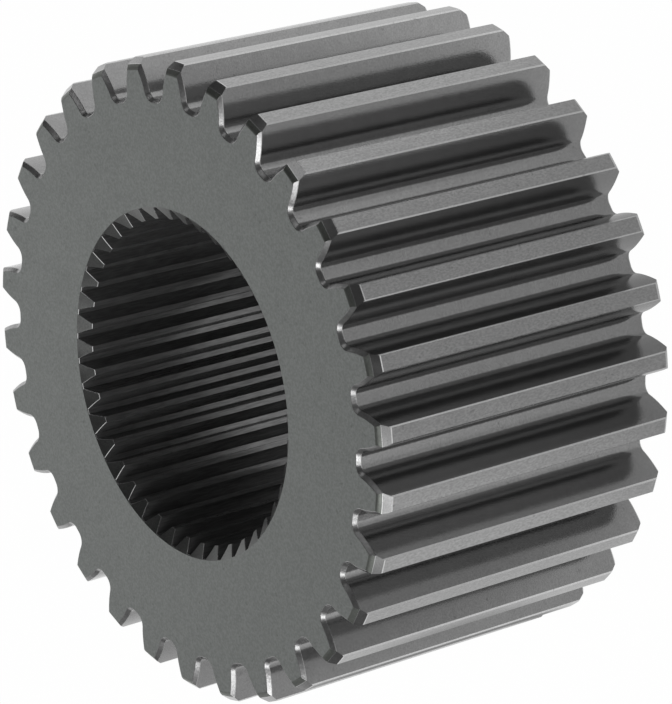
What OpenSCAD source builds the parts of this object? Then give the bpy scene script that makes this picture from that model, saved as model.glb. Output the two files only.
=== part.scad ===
// Splined spur gear of a heavy planetary differential, cut from one forging.
// It stands on its rear end: the axis is +Z and the origin is the middle of that end.

/* [Outer teeth] */
// Number of outer teeth
tooth_count = 30; // [24:1:36]
// Module of the outer teeth, in mm of pitch diameter for each tooth
tooth_module = 5; // [4.7:0.1:5.6]
// Pressure angle of the outer teeth, in degrees
pressure_angle = 20; // [18:0.5:24]
// Height of a tooth above the pitch circle
addendum = 5; // [4.2:0.1:5.4]
// Depth of a gap below the pitch circle
dedendum = 4.7; // [4:0.1:6]
// Width added to each tooth at the pitch circle
tooth_extra = 0.2; // [0:0.05:0.6]
// Radius between a flank and the bottom of the gap
root_fillet = 2.2; // [1:0.1:2.5]
// Length of the teeth and of the whole gear
face_width = 89; // [50:0.5:130]

/* [Tooth ends and edges] */
// How far the tip chamfer comes in towards the axis
tip_chamfer_depth = 1.6; // [0.8:0.1:2.4]
// How far the tip chamfer reaches along the axis
tip_chamfer_length = 2.6; // [1.5:0.1:4]
// Width of the soft edge between the end face and the tip chamfer
soft_edge_width = 1.1; // [0.4:0.1:1.4]
// Drop of the soft edge along the axis
soft_edge_drop = 0.8; // [0.2:0.1:1.2]
// Bevel along the flanks and the gap bottoms at both ends
end_bevel = 0.9; // [0.3:0.1:1.4]
// Broken edge along both sides of each tip
tip_edge_break = 0.35; // [0.1:0.05:0.6]

/* [Spline in the bore] */
// Number of spline teeth
spline_count = 42; // [36:1:46]
// Module of the spline, in mm of pitch diameter for each tooth
spline_module = 2; // [1.8:0.05:2.1]
// Pressure angle of the spline, in degrees
spline_angle = 30; // [27:0.5:32]
// Height of a spline tooth inside the spline's pitch circle
spline_height = 1.55; // [1.2:0.05:1.7]
// Depth of a spline space outside the spline's pitch circle
spline_depth = 1.6; // [1.3:0.05:1.8]
// Corner cut at the bottom of each spline space
spline_corner = 0.3; // [0.1:0.05:0.4]
// Angle of the bore's mouth, measured from the end face
mouth_angle = 35; // [25:1:50]
// How far the mouth opens past the bottoms of the spline spaces
mouth_lip = 0.2; // [0:0.05:1]

/* [Hidden] */
$fn = 96;

// Cutters reach this far past the metal that they cut
past = 1;
// Bevel cutters start and stop this far past the surfaces that they meet
bevel_past = 0.1;
// Points along one flank, one fillet and one spline flank
flank_points = 5;
fillet_points = 3;
spline_points = 3;

pitch_r = tooth_module * tooth_count / 2;
base_r = pitch_r * cos(pressure_angle);
tip_r = pitch_r + addendum;
root_r = pitch_r - dedendum;
spline_pitch_r = spline_module * spline_count / 2;
spline_base_r = spline_pitch_r * cos(spline_angle);
bore_r = spline_pitch_r - spline_height;
spline_root_r = spline_pitch_r + spline_depth;
mouth_r = spline_root_r + mouth_lip;
mouth_depth = (mouth_r - bore_r) * tan(mouth_angle);

// Involute function, in degrees
function inv(angle) = tan(angle) * 180 / PI - angle;
// Angle between an involute and the radius at distance r from the axis, zero inside the base circle
function slant(r, base) = r > base ? acos(base / r) : 0;
// Point at distance r from the axis, turned by an angle from +Y towards +X
function polar(r, angle) = [r * sin(angle), r * cos(angle)];

// Half the angle of a tooth gap at distance r from the axis
gap_pitch_half = 90 / tooth_count - tooth_extra / 2 / pitch_r * 180 / PI;
function gap_half(r) = gap_pitch_half - inv(pressure_angle) + inv(slant(r, base_r));

// The fillet is limited by the space between two flanks
fillet_r = min(root_fillet, 0.9 * root_r * tan(gap_half(root_r)));
// Where the fillet leaves the flank, found by repeated steps
function fillet_end(r, steps) = steps == 0 ? r : let (a = slant(r, base_r))
    fillet_end(sqrt(pow(root_r + fillet_r, 2) - pow(fillet_r * cos(a), 2)) - fillet_r * sin(a), steps - 1);
fillet_end_r = fillet_end(root_r + fillet_r, 6);
fillet_slant = slant(fillet_end_r, base_r);
// The fillet's centre, and the directions from it to the flank and to the gap bottom
fillet_centre_angle = gap_half(fillet_end_r)
    - atan2(fillet_r * cos(fillet_slant), fillet_end_r + fillet_r * sin(fillet_slant));
fillet_centre = polar(root_r + fillet_r, fillet_centre_angle);
fillet_from = 180 + fillet_centre_angle;
fillet_to = 90 + gap_half(fillet_end_r) + fillet_slant;

// Right half of a tooth gap, from the bottom up along the flank and out past the tip
flank_top_r = tip_r - tip_edge_break;
half_gap = concat(
    [for (i = [0:fillet_points]) let (a = fillet_from + (fillet_to - fillet_from) * i / fillet_points)
        fillet_centre + polar(fillet_r, a)],
    [for (i = [1:flank_points]) let (r = fillet_end_r + (flank_top_r - fillet_end_r) * i / flank_points)
        polar(r, gap_half(r))],
    [for (rise = [0, past]) polar(flank_top_r, gap_half(flank_top_r)) + tip_edge_break * [1, 1] + [0, rise]]);

function mirrored(points) = [for (i = [len(points) - 1:-1:0]) [-points[i].x, points[i].y]];
// Whole outline of a gap, starting at the bottom of its right side
gap_outline = concat(half_gap, mirrored(half_gap));

// Sideways direction of the segment from a to b
function sideways(a, b) = let (d = b - a) [d.y, -d.x] / norm(d);
// An outline moved into the metal by a distance, with its corners kept sharp
function moved(points, distance) = let (n = len(points)) [for (i = [0:n - 1])
    let (before = sideways(points[(i + n - 1) % n], points[i]), after = sideways(points[i], points[(i + 1) % n]),
        corner = before + after)
    points[i] + corner * 2 * distance / (corner * corner)];

// Right side of a spline space, from inside the bore out to its bottom
function space_half(r) = 90 / spline_count + inv(spline_angle) - inv(slant(r, spline_base_r));
space_flank_end = spline_root_r - spline_corner;
half_space = concat(
    [polar(bore_r - past, space_half(bore_r - past))],
    [for (i = [0:spline_points]) let (r = bore_r + (space_flank_end - bore_r) * i / spline_points)
        polar(r, space_half(r))],
    [polar(spline_root_r, space_half(space_flank_end) - spline_corner / 2 / spline_root_r * 180 / PI)]);

// Turned blank: bore, its two mouths, end faces, soft edges and tip chamfers
module blank() {
    end_r = tip_r - tip_chamfer_depth;
    rear_half = [
        [bore_r, mouth_depth],
        [mouth_r, 0],
        [end_r - soft_edge_width, 0],
        [end_r, soft_edge_drop],
        [tip_r, tip_chamfer_length]];
    front_half = [for (i = [len(rear_half) - 1:-1:0]) [rear_half[i].x, face_width - rear_half[i].y]];
    rotate_extrude() polygon(concat(rear_half, front_half));
}

// One gap between two outer teeth
module tooth_gap() {
    translate([0, 0, -past]) linear_extrude(face_width + 2 * past) polygon(gap_outline);
}

// Bevel around one gap at the front end, as a funnel that widens outwards
module gap_bevel() {
    n = len(gap_outline);
    inner = [for (p = moved(gap_outline, -bevel_past)) [p.x, p.y, face_width - end_bevel - bevel_past]];
    outer = [for (p = moved(gap_outline, end_bevel + bevel_past)) [p.x, p.y, face_width + bevel_past]];
    // Each end of the funnel is closed by strips that run across the gap
    strips = [for (i = [0:n / 2 - 2]) [i, i + 1, n - 2 - i, n - 1 - i]];
    polyhedron(
        points = concat(inner, outer),
        faces = concat(
            strips,
            [for (strip = strips) [for (i = [3:-1:0]) n + strip[i]]],
            [for (i = [0:n - 1]) [i, n + i, n + (i + 1) % n, (i + 1) % n]]));
}

// One space of the spline in the bore
module spline_space() {
    translate([0, 0, -past]) linear_extrude(face_width + 2 * past)
        polygon(concat(half_space, mirrored(half_space)));
}

module around(count) {
    for (i = [0:count - 1]) rotate([0, 0, 360 / count * i]) children();
}

module sun_gear() {
    color([0.42, 0.43, 0.42]) difference() {
        blank();
        around(tooth_count) tooth_gap();
        around(tooth_count) gap_bevel();
        around(tooth_count) translate([0, 0, face_width]) mirror([0, 0, 1]) gap_bevel();
        around(spline_count) spline_space();
    }
}

sun_gear();
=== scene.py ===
import math

import bpy
from mathutils import Matrix, Vector


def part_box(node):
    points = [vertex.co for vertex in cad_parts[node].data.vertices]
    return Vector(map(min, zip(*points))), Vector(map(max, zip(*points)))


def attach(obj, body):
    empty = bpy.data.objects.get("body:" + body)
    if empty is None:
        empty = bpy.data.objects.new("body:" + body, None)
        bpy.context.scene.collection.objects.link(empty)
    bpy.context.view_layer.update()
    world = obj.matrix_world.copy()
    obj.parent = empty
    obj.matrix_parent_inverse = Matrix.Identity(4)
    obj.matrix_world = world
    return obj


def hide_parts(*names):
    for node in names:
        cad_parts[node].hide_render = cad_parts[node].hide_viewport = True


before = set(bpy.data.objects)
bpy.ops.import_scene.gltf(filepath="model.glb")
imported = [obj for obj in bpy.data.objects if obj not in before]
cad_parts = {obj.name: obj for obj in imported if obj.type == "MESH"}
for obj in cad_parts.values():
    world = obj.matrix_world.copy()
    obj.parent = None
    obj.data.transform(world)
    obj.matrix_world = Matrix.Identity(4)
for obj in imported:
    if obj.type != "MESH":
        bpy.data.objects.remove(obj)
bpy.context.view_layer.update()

# Sizes, in metres

MM = 0.001
FACE_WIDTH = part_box("sun_gear")[1].z
TOOTH_COUNT = 30
MODULE = 5 * MM
ADDENDUM = 5 * MM
PRESSURE_ANGLE = math.radians(20)
DEDENDUM = 4.7 * MM
TOOTH_EXTRA = 0.2 * MM
ROOT_FILLET = 2.2 * MM
TIP_CHAMFER_DEPTH = 1.6 * MM
TIP_CHAMFER_LENGTH = 2.6 * MM
SOFT_EDGE_WIDTH = 1.1 * MM
SOFT_EDGE_DROP = 0.8 * MM
END_BEVEL = 0.9 * MM
TIP_EDGE_BREAK = 0.35 * MM
SPLINE_COUNT = 42
SPLINE_MODULE = 2 * MM
SPLINE_ANGLE = math.radians(30)
SPLINE_HEIGHT = 1.55 * MM
SPLINE_DEPTH = 1.6 * MM
SPLINE_CORNER = 0.3 * MM
MOUTH_ANGLE = math.radians(35)
MOUTH_LIP = 0.2 * MM

# Cutters reach this far past the metal that they cut
PAST = 0.5 * MM
# Vertices closer than this are one
JOIN = MM / 500
# Steps along one flank, one fillet, one spline flank, round the axis over one tooth, and across
# the shoulder
FLANK_STEPS = 16
FILLET_STEPS = 10
SPLINE_STEPS = 6
TOOTH_STEPS = 14
SOFT_STEPS = 6
# The rounded shoulder before the tip chamfer: its width as a share of the soft edge's, and how late
# it bends
SHOULDER_REACH = 1.25
SHOULDER_CURVE = 1.7
# Width of the line that wear has left along each edge of the tip chamfer
WORN_LINE = 0.15 * MM
# The toothed ring and the splined ring meet at this radius, on a circle that both divide evenly, and
# a face whose middle is this close to the circle lies on the seam
SEAM_R = 60 * MM
SEAM_REACH = 0.12 * MM
# The bevel at the ends of a gap, flat with its edges rubbed off: how far out and how deep, as
# shares of its width
BEVEL_STEPS = [(1.3, -0.1), (0.92, 0.08), (0.08, 0.92), (0, 1.08), (0, 1.4)]
# Width of the worn edge where the spline teeth meet the bore's mouths
MOUTH_WEAR = 0.09 * MM
# Edges that turn by less than this are shaded as one smooth surface
SMOOTH_ANGLE = math.radians(15)
# The end of a fillet is found in this many rounds, each closer than the last
FILLET_ROUNDS = 6

PITCH_R = MODULE * TOOTH_COUNT / 2
TIP_R = PITCH_R + ADDENDUM
BASE_R = PITCH_R * math.cos(PRESSURE_ANGLE)
ROOT_R = PITCH_R - DEDENDUM
SPLINE_PITCH_R = SPLINE_MODULE * SPLINE_COUNT / 2
SPLINE_BASE_R = SPLINE_PITCH_R * math.cos(SPLINE_ANGLE)
BORE_R = SPLINE_PITCH_R - SPLINE_HEIGHT
SPLINE_ROOT_R = SPLINE_PITCH_R + SPLINE_DEPTH
MOUTH_R = SPLINE_ROOT_R + MOUTH_LIP
MOUTH_DEPTH = (MOUTH_R - BORE_R) * math.tan(MOUTH_ANGLE)
# The tip chamfer starts at this radius, and climbs this much for each step along its slope
CHAMFER_R = TIP_R - TIP_CHAMFER_DEPTH
CHAMFER_SLOPE = Vector((TIP_CHAMFER_DEPTH, TIP_CHAMFER_LENGTH - SOFT_EDGE_DROP)).normalized()

# Finishes, in the order of the gear's material slots
FACE, SHOULDER, LAND, FLANK, BEVEL, CHAMFER, WORN, MOUTH, BORE = range(9)
# Parts of a face's normal that tell faces apart: along the axis it is more than the first on a level
# face and less than the second on a wall; along and out from the axis together it is more than the
# third on a turned face
LEVEL, WALL, TURNED = 0.99, 0.1, 0.9999


# Involute geometry, with angles in radians

def involute(angle):
    """How far round the axis an involute has come where it slants by an angle."""
    return math.tan(angle) - angle


def slant(radius, base):
    """Angle between an involute and the radius, zero inside the base circle."""
    return math.acos(base / radius) if radius > base else 0.0


def polar(radius, angle):
    """Point at a radius, turned by an angle from +Y towards +X."""
    return Vector((radius * math.sin(angle), radius * math.cos(angle)))


def gap_half(radius):
    """Half the angle of a tooth gap at a radius."""
    at_pitch = math.pi / 2 / TOOTH_COUNT - TOOTH_EXTRA / 2 / PITCH_R
    return at_pitch - involute(PRESSURE_ANGLE) + involute(slant(radius, BASE_R))


def gap_outline():
    """Outline of one gap: up its right side from the bottom and down its left side."""
    end_r = ROOT_R + ROOT_FILLET
    for _ in range(FILLET_ROUNDS):
        lean = slant(end_r, BASE_R)
        reach = math.sqrt((ROOT_R + ROOT_FILLET) ** 2 - (ROOT_FILLET * math.cos(lean)) ** 2)
        end_r = reach - ROOT_FILLET * math.sin(lean)
    lean = slant(end_r, BASE_R)
    across = ROOT_FILLET * math.cos(lean)
    centre_angle = gap_half(end_r) - math.atan2(across, end_r + ROOT_FILLET * math.sin(lean))
    centre = polar(ROOT_R + ROOT_FILLET, centre_angle)
    first, last = math.pi + centre_angle, math.pi / 2 + gap_half(end_r) + lean
    right = []
    for i in range(FILLET_STEPS + 1):
        right.append(centre + polar(ROOT_FILLET, first + (last - first) * i / FILLET_STEPS))
    top_r = TIP_R - TIP_EDGE_BREAK
    for i in range(1, FLANK_STEPS + 1):
        radius = end_r + (top_r - end_r) * i / FLANK_STEPS
        right.append(polar(radius, gap_half(radius)))
    for rise in (0, PAST):
        right.append(polar(top_r, gap_half(top_r)) + Vector((TIP_EDGE_BREAK, TIP_EDGE_BREAK + rise)))
    return right + [Vector((-p.x, p.y)) for p in reversed(right)]


def moved(points, distance):
    """An outline moved outwards by a distance, with its corners kept sharp."""
    def sideways(a, b):
        along = (b - a).normalized()
        return Vector((along.y, -along.x))

    result = []
    for i, point in enumerate(points):
        before = sideways(points[i - 1], point)
        after = sideways(point, points[(i + 1) % len(points)])
        corner = before + after
        result.append(point + corner * (2 * distance / corner.dot(corner)))
    return result


def space_outline():
    """Outline of one spline space, from inside the bore out to its bottom and back."""
    def half(radius):
        opened = involute(SPLINE_ANGLE) - involute(slant(radius, SPLINE_BASE_R))
        return math.pi / 2 / SPLINE_COUNT + opened

    flank_end = SPLINE_ROOT_R - SPLINE_CORNER
    right = [polar(BORE_R - PAST, half(BORE_R - PAST))]
    for i in range(SPLINE_STEPS + 1):
        radius = BORE_R + (flank_end - BORE_R) * i / SPLINE_STEPS
        right.append(polar(radius, half(radius)))
    right.append(polar(SPLINE_ROOT_R, half(flank_end) - SPLINE_CORNER / 2 / SPLINE_ROOT_R))
    return right + [Vector((-p.x, p.y)) for p in reversed(right)]


# Modelling helpers

def only(*objects):
    """Selects these objects alone, with the first one active."""
    bpy.ops.object.select_all(action="DESELECT")
    for piece in objects:
        piece.select_set(True)
    bpy.context.view_layer.objects.active = objects[0]


def flat_curve(name, points, closed=True):
    """A polygon line through points in space, made a mesh."""
    curve = bpy.data.curves.new(name, "CURVE")
    curve.dimensions = "3D"
    line = curve.splines.new("POLY")
    line.points.add(len(points) - 1)
    for spot, point in zip(line.points, points):
        spot.co = (*point, 1)
    line.use_cyclic_u = closed
    piece = bpy.data.objects.new(name, curve)
    bpy.context.scene.collection.objects.link(piece)
    only(piece)
    bpy.ops.object.convert(target="MESH")
    return bpy.context.object


def pick(piece, kind, chosen):
    """Enters edit mode with the vertices or faces selected that a test chooses."""
    bpy.ops.object.mode_set(mode="OBJECT")
    only(piece)
    bpy.ops.object.mode_set(mode="EDIT")
    bpy.ops.mesh.select_mode(type=kind)
    bpy.ops.mesh.select_all(action="DESELECT")
    bpy.ops.object.mode_set(mode="OBJECT")
    for element in piece.data.vertices if kind == "VERT" else piece.data.polygons:
        element.select = chosen(element)
    bpy.ops.object.mode_set(mode="EDIT")


def stacked_cutter(name, rings):
    """A closed cutter through rings of (height, outline), from the lowest to the highest."""
    loops = [flat_curve(name, [(p.x, p.y, z) for p in outline]) for z, outline in rings]
    only(*loops)
    bpy.ops.object.join()
    piece = bpy.context.object
    heights = [z for z, _ in rings]
    for low, high in zip(heights, heights[1:]):
        pick(piece, "VERT", lambda vertex: low - JOIN < vertex.co.z < high + JOIN)
        bpy.ops.mesh.bridge_edge_loops()
    for height in (heights[0], heights[-1]):
        pick(piece, "VERT", lambda vertex: abs(vertex.co.z - height) < JOIN)
        bpy.ops.mesh.edge_face_add()
    bpy.ops.mesh.select_all(action="SELECT")
    bpy.ops.mesh.normals_make_consistent(inside=False)
    bpy.ops.object.mode_set(mode="OBJECT")
    return piece


def around(piece, count):
    """Copies a piece round the axis and joins the copies into one mesh."""
    copies = [piece]
    for i in range(1, count):
        only(piece)
        bpy.ops.object.duplicate()
        copy = bpy.context.object
        copy.rotation_euler.z = 2 * math.pi * i / count
        copies.append(copy)
    only(*copies)
    bpy.ops.object.transform_apply(location=True, rotation=True, scale=True)
    bpy.ops.object.join()
    return bpy.context.object


# The gear

def wedge(name, profile, angle, steps):
    """A closed slice of a turned ring, symmetrical about +Y."""
    piece = flat_curve(name, [(*polar(r, -angle / 2), z) for r, z in profile])
    bpy.ops.object.mode_set(mode="EDIT")
    bpy.ops.mesh.select_all(action="SELECT")
    bpy.ops.mesh.spin(steps=steps, angle=angle, center=(0, 0, 0), axis=(0, 0, 1))
    bpy.ops.mesh.select_all(action="SELECT")
    bpy.ops.mesh.fill_holes(sides=0)
    bpy.ops.mesh.normals_make_consistent(inside=False)
    bpy.ops.object.mode_set(mode="OBJECT")
    return piece


def cut(piece, cutter):
    """Takes a cutter out of a piece."""
    only(piece)
    modifier = piece.modifiers.new("cut", "BOOLEAN")
    modifier.operation = "DIFFERENCE"
    modifier.solver = "EXACT"
    modifier.object = cutter
    bpy.ops.object.modifier_apply(modifier=modifier.name)
    bpy.data.objects.remove(cutter)


def open_slice(piece, angle):
    """Removes the walls at which a slice meets its neighbours."""
    side = Vector((math.cos(angle / 2), math.sin(angle / 2)))

    def is_wall(face):
        beside = abs(abs(face.center.x) * side.x - face.center.y * side.y) < JOIN
        within = abs(math.hypot(face.center.x, face.center.y) - SEAM_R) < SEAM_REACH
        return abs(face.normal.z) < WALL and (beside or within)

    pick(piece, "FACE", is_wall)
    bpy.ops.mesh.delete(type="FACE")
    bpy.ops.object.mode_set(mode="OBJECT")


def both_ends(half):
    """A profile of (radius, height) at the rear end, with its mirror image at the front end."""
    return half + [(r, FACE_WIDTH - z) for r, z in reversed(half)]


def tip_profile():
    """A tooth's end as (radius, height): flat face, rounded shoulder, chamfer and worn lines."""
    profile = [(SEAM_R, 0)]
    shoulder = SHOULDER_REACH * SOFT_EDGE_WIDTH
    for i in range(SOFT_STEPS + 1):
        share = i / SOFT_STEPS
        profile.append((CHAMFER_R + shoulder * (share - 1), SOFT_EDGE_DROP * share ** SHOULDER_CURVE))
    start, end = Vector((CHAMFER_R, SOFT_EDGE_DROP)), Vector((TIP_R, TIP_CHAMFER_LENGTH))
    profile.append(tuple(start + CHAMFER_SLOPE * WORN_LINE))
    profile.append(tuple(end - CHAMFER_SLOPE * WORN_LINE))
    profile.append((TIP_R, TIP_CHAMFER_LENGTH + WORN_LINE))
    return profile


def tooth_ring():
    """Outer part of the gear: turned blank, tooth gaps and their rubbed bevels."""
    angle = 2 * math.pi / TOOTH_COUNT
    piece = wedge("tooth", both_ends(tip_profile()), angle, TOOTH_STEPS)
    outline = gap_outline()
    rear = []
    for out, deep in BEVEL_STEPS:
        rear.append((deep * END_BEVEL, moved(outline, out * END_BEVEL)))
    front = [(FACE_WIDTH - z, ring) for z, ring in reversed(rear)]
    cut(piece, stacked_cutter("gap_cutter", rear + front))
    open_slice(piece, angle)
    return around(piece, TOOTH_COUNT)


def spline_ring():
    """Inner part of the gear: bore, mouths and spline spaces."""
    angle = 2 * math.pi / SPLINE_COUNT
    profile = both_ends([(BORE_R, MOUTH_DEPTH), (MOUTH_R, 0), (SEAM_R, 0)])
    piece = wedge("spline_tooth", profile, angle, TOOTH_STEPS * TOOTH_COUNT // SPLINE_COUNT)
    outline = space_outline()
    cut(piece, stacked_cutter("space_cutter", [(-PAST, outline), (FACE_WIDTH + PAST, outline)]))
    open_slice(piece, angle)
    return around(piece, SPLINE_COUNT)


def finish_of(face):
    """The finish that the machining left on a face of the gear."""
    normal, centre = face.normal, face.center
    radius = math.hypot(centre.x, centre.y)
    outwards = (normal.x * centre.x + normal.y * centre.y) / radius
    facing = abs(normal.z)
    if radius < SEAM_R:
        return FACE if facing > LEVEL else MOUTH if facing > WALL else BORE
    if radius > PITCH_R and math.hypot(outwards, normal.z) > TURNED:
        if facing < WALL:
            return LAND
        if radius < CHAMFER_R:
            return FACE if facing > LEVEL else SHOULDER
        across = CHAMFER_SLOPE.x * WORN_LINE
        return CHAMFER if CHAMFER_R + across < radius < TIP_R - across else WORN
    if facing > WALL:
        return FACE if facing > LEVEL else BEVEL
    return WORN if radius > TIP_R - TIP_EDGE_BREAK else FLANK


def border(piece, chosen):
    """Selects the edges round the faces that a test chooses."""
    pick(piece, "FACE", chosen)
    bpy.ops.mesh.region_to_loop()


def wear_mouth(gear):
    """Rubs the edges between the bore's mouths and the spline teeth."""
    border(gear, lambda face: face.material_index == BORE)
    bpy.ops.mesh.bevel(offset=MOUTH_WEAR, segments=1, material=WORN)
    bpy.ops.object.mode_set(mode="OBJECT")


def sun_gear(finishes):
    """The whole gear as one closed mesh, with the finish of each of its faces."""
    only(tooth_ring(), spline_ring())
    bpy.ops.object.join()
    gear = bpy.context.object
    gear.name = "sun_gear_steel"
    bpy.ops.object.mode_set(mode="EDIT")
    bpy.ops.mesh.select_all(action="SELECT")
    bpy.ops.mesh.remove_doubles(threshold=JOIN)
    bpy.ops.mesh.normals_make_consistent(inside=False)
    bpy.ops.object.mode_set(mode="OBJECT")
    gear.data.materials.clear()
    for finish in finishes:
        gear.data.materials.append(finish)
    for face in gear.data.polygons:
        face.material_index = finish_of(face)
    wear_mouth(gear)
    for finish in range(1, len(finishes)):
        border(gear, lambda face: face.material_index == finish)
        bpy.ops.mesh.mark_sharp()
        bpy.ops.object.mode_set(mode="OBJECT")
    bpy.ops.object.shade_smooth_by_angle(angle=SMOOTH_ANGLE)
    return gear


# Materials

def linear(hex_colour):
    """An sRGB hex colour as linear RGBA."""
    parts = [int(hex_colour[i:i + 2], 16) / 255 for i in (1, 3, 5)]
    return (*[p / 12.92 if p <= 0.04045 else ((p + 0.055) / 1.055) ** 2.4 for p in parts], 1)


def add(tree, kind, inputs, **settings):
    """Adds a node with its settings; each input takes a value or another node's output."""
    node = tree.nodes.new(kind)
    for name, value in settings.items():
        setattr(node, name, value)
    for socket, source in inputs.items():
        if isinstance(source, bpy.types.NodeSocket):
            tree.links.new(source, node.inputs[socket])
        else:
            node.inputs[socket].default_value = source
    return node


def new_material(name):
    """An empty material and its node tree."""
    material = bpy.data.materials.new(name)
    material.use_nodes = True
    material.node_tree.nodes.clear()
    return material, material.node_tree


def radius_of(tree, place):
    """Distance from the gear's axis."""
    flat = add(tree, "ShaderNodeVectorMath", {0: place, 1: (1, 1, 0)}, operation="MULTIPLY").outputs[0]
    return add(tree, "ShaderNodeVectorMath", {0: flat}, operation="LENGTH").outputs["Value"]


# Brightness of a coasting flank compared with a running one
COAST_TONE = 0.72
# The cross product of place and normal is 0 on a land and up to the pitch radius on a flank, and
# its sign tells the two flanks apart. The coasting side starts and is complete at these values.
COAST_LEAN = (0.3 * PITCH_R, 0.6 * PITCH_R)
# The bright bottom of a gap ends between these radii
BOTTOM_RADII = (ROOT_R + 0.5 * MM, ROOT_R + 2.5 * MM)


def coasting_flank_tone(tree, place):
    """The coasting flank of a tooth is darker than the running one, except near the gap bottoms."""
    normal = add(tree, "ShaderNodeTexCoord", {}).outputs["Normal"]
    turned = add(tree, "ShaderNodeVectorMath",
                 {0: place, 1: normal}, operation="CROSS_PRODUCT").outputs[0]
    side = add(tree, "ShaderNodeSeparateXYZ", {0: turned}).outputs["Z"]
    coasting = add(tree, "ShaderNodeMapRange",
                   {0: side, 1: COAST_LEAN[0], 2: COAST_LEAN[1], 3: 1, 4: COAST_TONE}).outputs[0]
    radius = radius_of(tree, place)
    bottom = add(tree, "ShaderNodeMapRange",
                 {0: radius, 1: BOTTOM_RADII[0], 2: BOTTOM_RADII[1], 3: 1, 4: 0}).outputs[0]
    return add(tree, "ShaderNodeMath", {0: coasting, 1: bottom}, operation="MAXIMUM").outputs[0]


# Scattered dark spots left by handling and oil are the rare peaks of a pattern of this size
SPOT_SIZE = 1.4 * MM
# Values of the spot pattern at which a spot starts and is complete, and the tone in a spot
SPOT_RANGE = (0.71, 0.77)
SPOT_TONE = 0.8
# A noise pattern stays mostly between these values
NOISE_RANGE = (0.35, 0.65)
# Uneven patches are this many times as large as the grain, and change the polish this many times
# as much as the tone
PATCH_SCALE = 12
POLISH_SHARE = 4


def steel(name, colour, roughness, grain, drawn=1, contrast=0.1, relief=0.002 * MM, brushed=0.0,
          cloud=0.03, bare=1.0, shade=None):
    """Steel with a grain of a real size, drawn out along the gear's axis, and uneven polish.

    Contrast and cloud say how far the grain and the broad patches change the tone, and relief is
    the height of the grain. Bare is the share of metal that isn't coated, brushed is how much the
    gloss is drawn out, and shade gives a tone for each place.
    """
    material, tree = new_material(name)
    low, high = NOISE_RANGE
    place = add(tree, "ShaderNodeTexCoord", {}).outputs["Object"]
    along = add(tree, "ShaderNodeMapping", {"Vector": place, "Scale": (1, 1, 1 / drawn)}).outputs[0]
    fine = add(tree, "ShaderNodeTexNoise", {"Vector": along, "Scale": 1 / grain, "Detail": 3}).outputs[0]
    broad = add(tree, "ShaderNodeTexNoise",
                {"Vector": along, "Scale": 1 / (PATCH_SCALE * grain), "Detail": 4}).outputs[0]
    spots = add(tree, "ShaderNodeTexNoise",
                {"Vector": place, "Scale": 1 / SPOT_SIZE, "Detail": 1}).outputs[0]
    grainy = add(tree, "ShaderNodeMapRange",
                 {0: fine, 1: low, 2: high, 3: 1 - contrast, 4: 1 + contrast}).outputs[0]
    cloudy = add(tree, "ShaderNodeMapRange",
                 {0: broad, 1: low, 2: high, 3: 1 - cloud, 4: 1 + cloud}).outputs[0]
    spotted = add(tree, "ShaderNodeMapRange",
                  {0: spots, 1: SPOT_RANGE[0], 2: SPOT_RANGE[1], 3: 1, 4: SPOT_TONE}).outputs[0]
    tone = add(tree, "ShaderNodeMath", {0: grainy, 1: cloudy}, operation="MULTIPLY").outputs[0]
    tone = add(tree, "ShaderNodeMath", {0: tone, 1: spotted}, operation="MULTIPLY").outputs[0]
    if shade:
        shaded = shade(tree, place)
        tone = add(tree, "ShaderNodeMath", {0: tone, 1: shaded}, operation="MULTIPLY").outputs[0]
    tinted = add(tree, "ShaderNodeVectorMath", {0: linear(colour)[:3], "Scale": tone}, operation="SCALE")
    uneven = POLISH_SHARE * cloud
    smooth, rough = (1 - uneven) * roughness, (1 + uneven) * roughness
    polish = add(tree, "ShaderNodeMapRange", {0: broad, 1: low, 2: high, 3: smooth, 4: rough}).outputs[0]
    dents = add(tree, "ShaderNodeBump", {"Height": fine, "Distance": relief}).outputs[0]
    shader = add(tree, "ShaderNodeBsdfPrincipled", {
        "Base Color": tinted.outputs[0],
        "Roughness": polish,
        "Normal": dents,
        "Metallic": bare,
        "Anisotropic": brushed,
    }).outputs[0]
    add(tree, "ShaderNodeOutputMaterial", {"Surface": shader})
    return material


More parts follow.
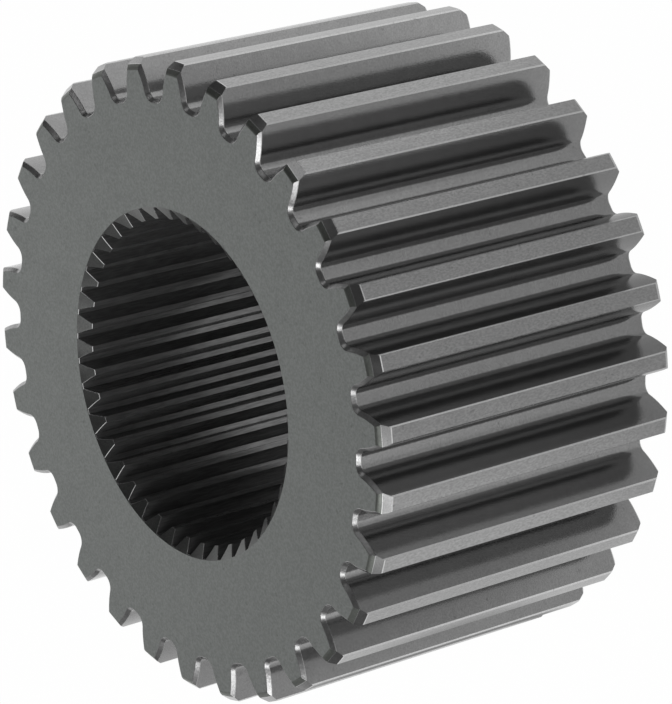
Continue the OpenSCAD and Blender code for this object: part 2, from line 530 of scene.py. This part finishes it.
# One finish for each name in the list near the top, in its order. A pixel of the render is a
# quarter of a millimetre, so each grain is drawn 0.3 to 0.6 mm wide to show; real ones are finer.
finishes = [
    # Phosphate coat on the end face: grey with a green cast, semi-matt, with a fine even grain
    steel("phosphated_end_face", "#868987", 0.4, 0.6 * MM, contrast=0.12, relief=0.004 * MM,
          cloud=0.012),
    # The end face's coat on the rounded shoulder, in a darker tone that is painted shade: a soft dark
    # line before the chamfer
    steel("phosphated_shoulder_painted_darker", "#757874", 0.45, 0.5 * MM),
    # Tip lands, turned and then rubbed in use: satin steel with faint streaks along the gear
    steel("rubbed_land", "#969696", 0.2, 0.4 * MM, drawn=2, contrast=0.12, relief=0.003 * MM,
          brushed=0.3),
    # Shot-peened flanks: smooth enough to mirror their neighbours, in zones with ragged edges
    steel("peened_flank", "#919191", 0.14, 0.45 * MM, drawn=0.6, contrast=0.12, relief=0.025 * MM,
          brushed=0.2, bare=0.93, shade=coasting_flank_tone),
    # Milled bevels round the gaps: bright and slightly wavy, so the lamp breaks up in them
    steel("milled_bevel", "#a4a4a4", 0.32, 0.6 * MM, relief=0.04 * MM),
    # Turned chamfer on the tooth tips: smooth steel that mirrors the room or the lamp
    steel("turned_chamfer", "#9a9a9a", 0.2, 0.3 * MM, relief=0.004 * MM),
    # Edges rubbed bare: thin pale lines
    steel("worn_edge", "#c4c4c4", 0.25, 0.3 * MM),
    # Turned mouths of the bore, dulled by the coat
    steel("coated_mouth", "#707170", 0.32, 0.35 * MM, contrast=0.14),
    # Broached bore: dark and streaked along the gear
    steel("broached_bore", "#787878", 0.22, 0.4 * MM, drawn=10, contrast=0.2, bare=0.65),
]
gear = sun_gear(finishes)
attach(gear, "root")
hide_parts("sun_gear")


# Studio

# What the bright steel mirrors besides white: direction from the gear, the cosines between which
# the patch fades in, and its brightness
SKY_PATCHES = [
    # Dark part of the room, high on the right
    (Vector((0.6, -0.2, 0.74)), 0.3, 0.58, 0.08),
    # The backdrop gets darker upwards and towards the lamp's side
    (Vector((-0.35, 0.5, 0.79)), 0.76, 0.93, 0.4),
    # Ceiling
    (Vector((-0.2, 0.05, 0.98)), 0.9, 0.97, 0.15),
    # The gear's own shadow on the table that it lay on
    (Vector((-0.86, 0.38, 0.34)), 0.8, 0.97, 0.14),
    # Lamp under the ceiling
    (Vector((0.72, -0.34, 0.60)), 0.975, 0.985, 0.8),
]
# Painted shade in the paper that the steel mirrors: direction from the middle of the floor, the cosines
# between which it fades in, and its brightness
PAINTED_PAPER_SHADE = [
    # Painted shade: the paper that the steel mirrors is darker towards the camera
    (Vector((0, -1, 0)), 0.53, 1.02, 0.6),
]
# Painted shadow on the paper beside the lowest teeth, seen only in the steel: middle, full and faded
# radius, and brightness
PAINTED_SHADOW_SPOT = Vector((-60, 70, 0)) * MM
PAINTED_SHADOW_RADII = (70 * MM, 90 * MM)
PAINTED_SHADOW_LEVEL = 0.35
# Share of plain white in the paper as the camera sees it; the rest takes light and shadow
PAPER_WHITE = 0.99
# Reflectance of the paper for that rest and for the light that it throws back
PAPER_TONE = 0.8
FLOOR_SIZE = 8


def patched(tree, towards, patches):
    """Brightness of a white surrounding in a direction, with darker or brighter patches."""
    light = 1
    for direction, outer, inner, brightness in patches:
        facing = add(tree, "ShaderNodeVectorMath", {0: towards, 1: direction.normalized()},
                     operation="DOT_PRODUCT").outputs["Value"]
        share = add(tree, "ShaderNodeMapRange", {0: facing, 1: outer, 2: inner, 3: 0, 4: 1},
                    interpolation_type="SMOOTHSTEP").outputs[0]
        light = add(tree, "ShaderNodeMix", {0: share, 2: light, 3: brightness}).outputs[0]
    return light


def studio_world():
    """White behind the gear, and in its steel the studio that the photograph shows there."""
    world = bpy.data.worlds.new("studio")
    bpy.context.scene.world = world
    world.use_nodes = True
    tree = world.node_tree
    tree.nodes.clear()
    towards = add(tree, "ShaderNodeTexCoord", {}).outputs["Generated"]
    light = patched(tree, towards, SKY_PATCHES)
    seen = add(tree, "ShaderNodeLightPath", {}).outputs["Is Camera Ray"]
    strength = add(tree, "ShaderNodeMath", {0: light, 1: seen}, operation="MAXIMUM").outputs[0]
    sky = add(tree, "ShaderNodeBackground", {"Color": (1, 1, 1, 1), "Strength": strength}).outputs[0]
    add(tree, "ShaderNodeOutputWorld", {"Surface": sky})


def paper():
    """White paper: seen as white with a trace of the gear's shadow, and mirrored in the steel with
    painted shade and a painted shadow.
    """
    material, tree = new_material("white_paper")
    path = add(tree, "ShaderNodeLightPath", {})
    mirrored = add(tree, "ShaderNodeMath", {
        0: path.outputs["Is Glossy Ray"],
        1: path.outputs["Is Transmission Ray"],
    }, operation="MAXIMUM").outputs[0]
    place = add(tree, "ShaderNodeTexCoord", {}).outputs["Object"]
    towards = add(tree, "ShaderNodeVectorMath", {0: place}, operation="NORMALIZE").outputs[0]
    # Painted shade: what the steel mirrors of the paper darkens towards the camera
    light = patched(tree, towards, PAINTED_PAPER_SHADE)
    # Painted shadow beside the lowest teeth, only in what the steel mirrors
    distance = add(tree, "ShaderNodeVectorMath", {0: place, 1: PAINTED_SHADOW_SPOT}, operation="DISTANCE")
    painted_shadow = add(tree, "ShaderNodeMapRange", {
        0: distance.outputs["Value"],
        1: PAINTED_SHADOW_RADII[0],
        2: PAINTED_SHADOW_RADII[1],
        3: PAINTED_SHADOW_LEVEL,
        4: 1,
    }, interpolation_type="SMOOTHSTEP").outputs[0]
    light = add(tree, "ShaderNodeMath", {0: light, 1: painted_shadow}, operation="MULTIPLY").outputs[0]
    # The paper as the steel mirrors it, with its painted shade and painted shadow
    mirrored_painted_paper = add(tree, "ShaderNodeEmission", {"Strength": light}).outputs[0]
    tone = (PAPER_TONE, PAPER_TONE, PAPER_TONE, 1)
    diffuse = add(tree, "ShaderNodeBsdfDiffuse", {"Color": tone}).outputs[0]
    white = add(tree, "ShaderNodeEmission", {"Strength": 1}).outputs[0]
    in_view = add(tree, "ShaderNodeMixShader", {0: PAPER_WHITE, 1: diffuse, 2: white}).outputs[0]
    lit = add(tree, "ShaderNodeMixShader", {
        0: path.outputs["Is Camera Ray"],
        1: diffuse,
        2: in_view,
    }).outputs[0]
    surface = add(tree, "ShaderNodeMixShader", {0: mirrored, 1: lit, 2: mirrored_painted_paper}).outputs[0]
    add(tree, "ShaderNodeOutputMaterial", {"Surface": surface})
    return material


bpy.ops.object.select_all(action="DESELECT")
bpy.ops.mesh.primitive_plane_add(size=FLOOR_SIZE)
floor = bpy.context.object
floor.name = "paper_floor"
floor.data.materials.append(paper())
studio_world()

# Key light, high on the left and to the front: its direction and distance from the middle of the
# front end, its width in metres and its power in watts
KEY_DIRECTION = Vector((-0.58, -0.27, 0.77)).normalized()
KEY_DISTANCE = 1.0
KEY_WIDTH = 0.42
KEY_POWER = 1.5
key_data = bpy.data.lights.new("key_light", "AREA")
key_data.shape = "DISK"
key_data.size = KEY_WIDTH
key_data.energy = KEY_POWER
key = bpy.data.objects.new("key_light", key_data)
key.location = Vector((0, 0, FACE_WIDTH)) + KEY_DIRECTION * KEY_DISTANCE
key.rotation_euler = KEY_DIRECTION.to_track_quat("Z", "Y").to_euler()
key.visible_camera = False
bpy.context.scene.collection.objects.link(key)

# Camera, at the photograph's place: its axes and spot in the gear's frame, and a last small shift
camera_data = bpy.data.cameras.new("camera")
camera_data.lens = 206.8
camera_data.sensor_width = 36
camera_data.clip_end = 10
camera = bpy.data.objects.new("camera", camera_data)
bpy.context.scene.collection.objects.link(camera)
right = Vector((-0.25995603, -0.55454395, -0.79050862))
down = Vector((-0.96551567, 0.16133327, 0.20433077))
away = Vector((0.01422495, 0.81636547, -0.57736043))
axes = Matrix((right, -down, -away)).transposed()
spot = Vector((-0.01625, -0.82157, 0.62253)) - down * 0.1 * MM - right * 0.08 * MM
camera.matrix_world = Matrix.Translation(spot) @ axes.to_4x4()
bpy.context.scene.camera = camera

bpy.context.scene.view_settings.view_transform = "Standard"
